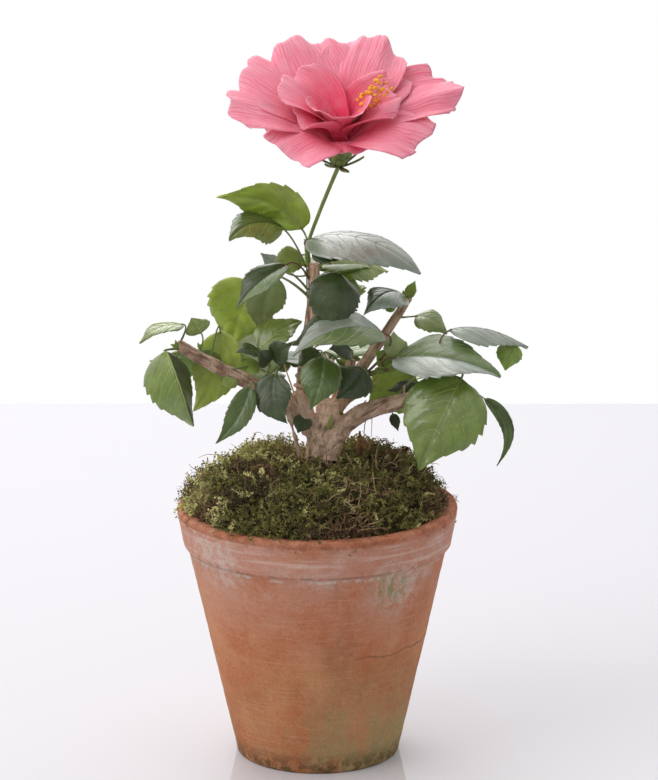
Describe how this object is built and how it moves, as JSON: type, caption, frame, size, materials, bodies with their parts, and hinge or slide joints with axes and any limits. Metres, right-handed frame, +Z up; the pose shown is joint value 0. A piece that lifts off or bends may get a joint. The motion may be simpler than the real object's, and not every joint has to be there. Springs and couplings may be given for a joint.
{
  "type": "potted hibiscus shrub",
  "caption": "Small hibiscus shrub with a pruned woody trunk, forked boughs, large toothed leaves and a wide ruffled pink bloom, in a mossy clay pot.",
  "frame": {"origin": "middle of the pot's flat underside, on the surface that it stands on", "axes": "+Z up, +X to the right of the plant's front, -Y towards its front"},
  "size_m": [0.2211, 0.1647, 0.4113],
  "materials": {
    "clay": "matte",
    "soil": "matte",
    "moss": "matte",
    "bark": "matte",
    "green_shoot": "satin",
    "leaf": "satin",
    "petal": "matte"
  },
  "bodies": {
    "root": {"pot": "clay", "soil": "soil", "moss": "moss", "trunk": "bark", "leader": "bark", "bough_left": "bark", "bough_right_low": "bark", "bough_right_up": "bark", "bough_back": "bark", "bough_back_right": "bark", "bough_back_left": "bark", "stump_front": "bark", "stump_left": "bark", "stump_right": "bark", "shoot_left": "bark", "shoot_right": "green_shoot", "top_shoot": "green_shoot", "flower_stalk": "green_shoot", "calyx": "green_shoot", "bloom": "petal", "leaves_back_centre": "leaf", "leaves_back_left": "leaf", "leaves_back_left_far": "leaf", "leaves_back_left_up": "leaf", "leaves_back_low": "leaf", "leaves_back_mid": "leaf", "leaves_back_right": "leaf", "leaves_back_right_far": "leaf", "leaves_back_right_low": "leaf", "leaves_back_top": "leaf", "leaves_back_upper": "leaf", "leaves_front_centre": "leaf", "leaves_front_left": "leaf", "leaves_front_low": "leaf", "leaves_front_right": "leaf", "leaves_left_back": "leaf", "leaves_left_hanging": "leaf", "leaves_left_inner": "leaf", "leaves_left_mid": "leaf", "leaves_left_tip": "leaf", "leaves_left_top": "leaf", "leaves_left_under": "leaf", "leaves_right_far": "leaf", "leaves_right_hanging": "leaf", "leaves_right_inner": "leaf", "leaves_right_low_far": "leaf", "leaves_right_mid": "leaf", "leaves_right_tip": "leaf", "leaves_right_under": "leaf", "leaves_right_upper": "leaf", "leaves_top_front": "leaf", "leaves_top_left_low": "leaf", "leaves_top_left_up": "leaf", "leaves_top_right": "leaf", "leaves_top_right_low": "leaf", "leaves_upper_left": "leaf", "leaves_upper_left_back": "leaf", "leaves_upper_left_far": "leaf"}
  },
  "joints": []
}
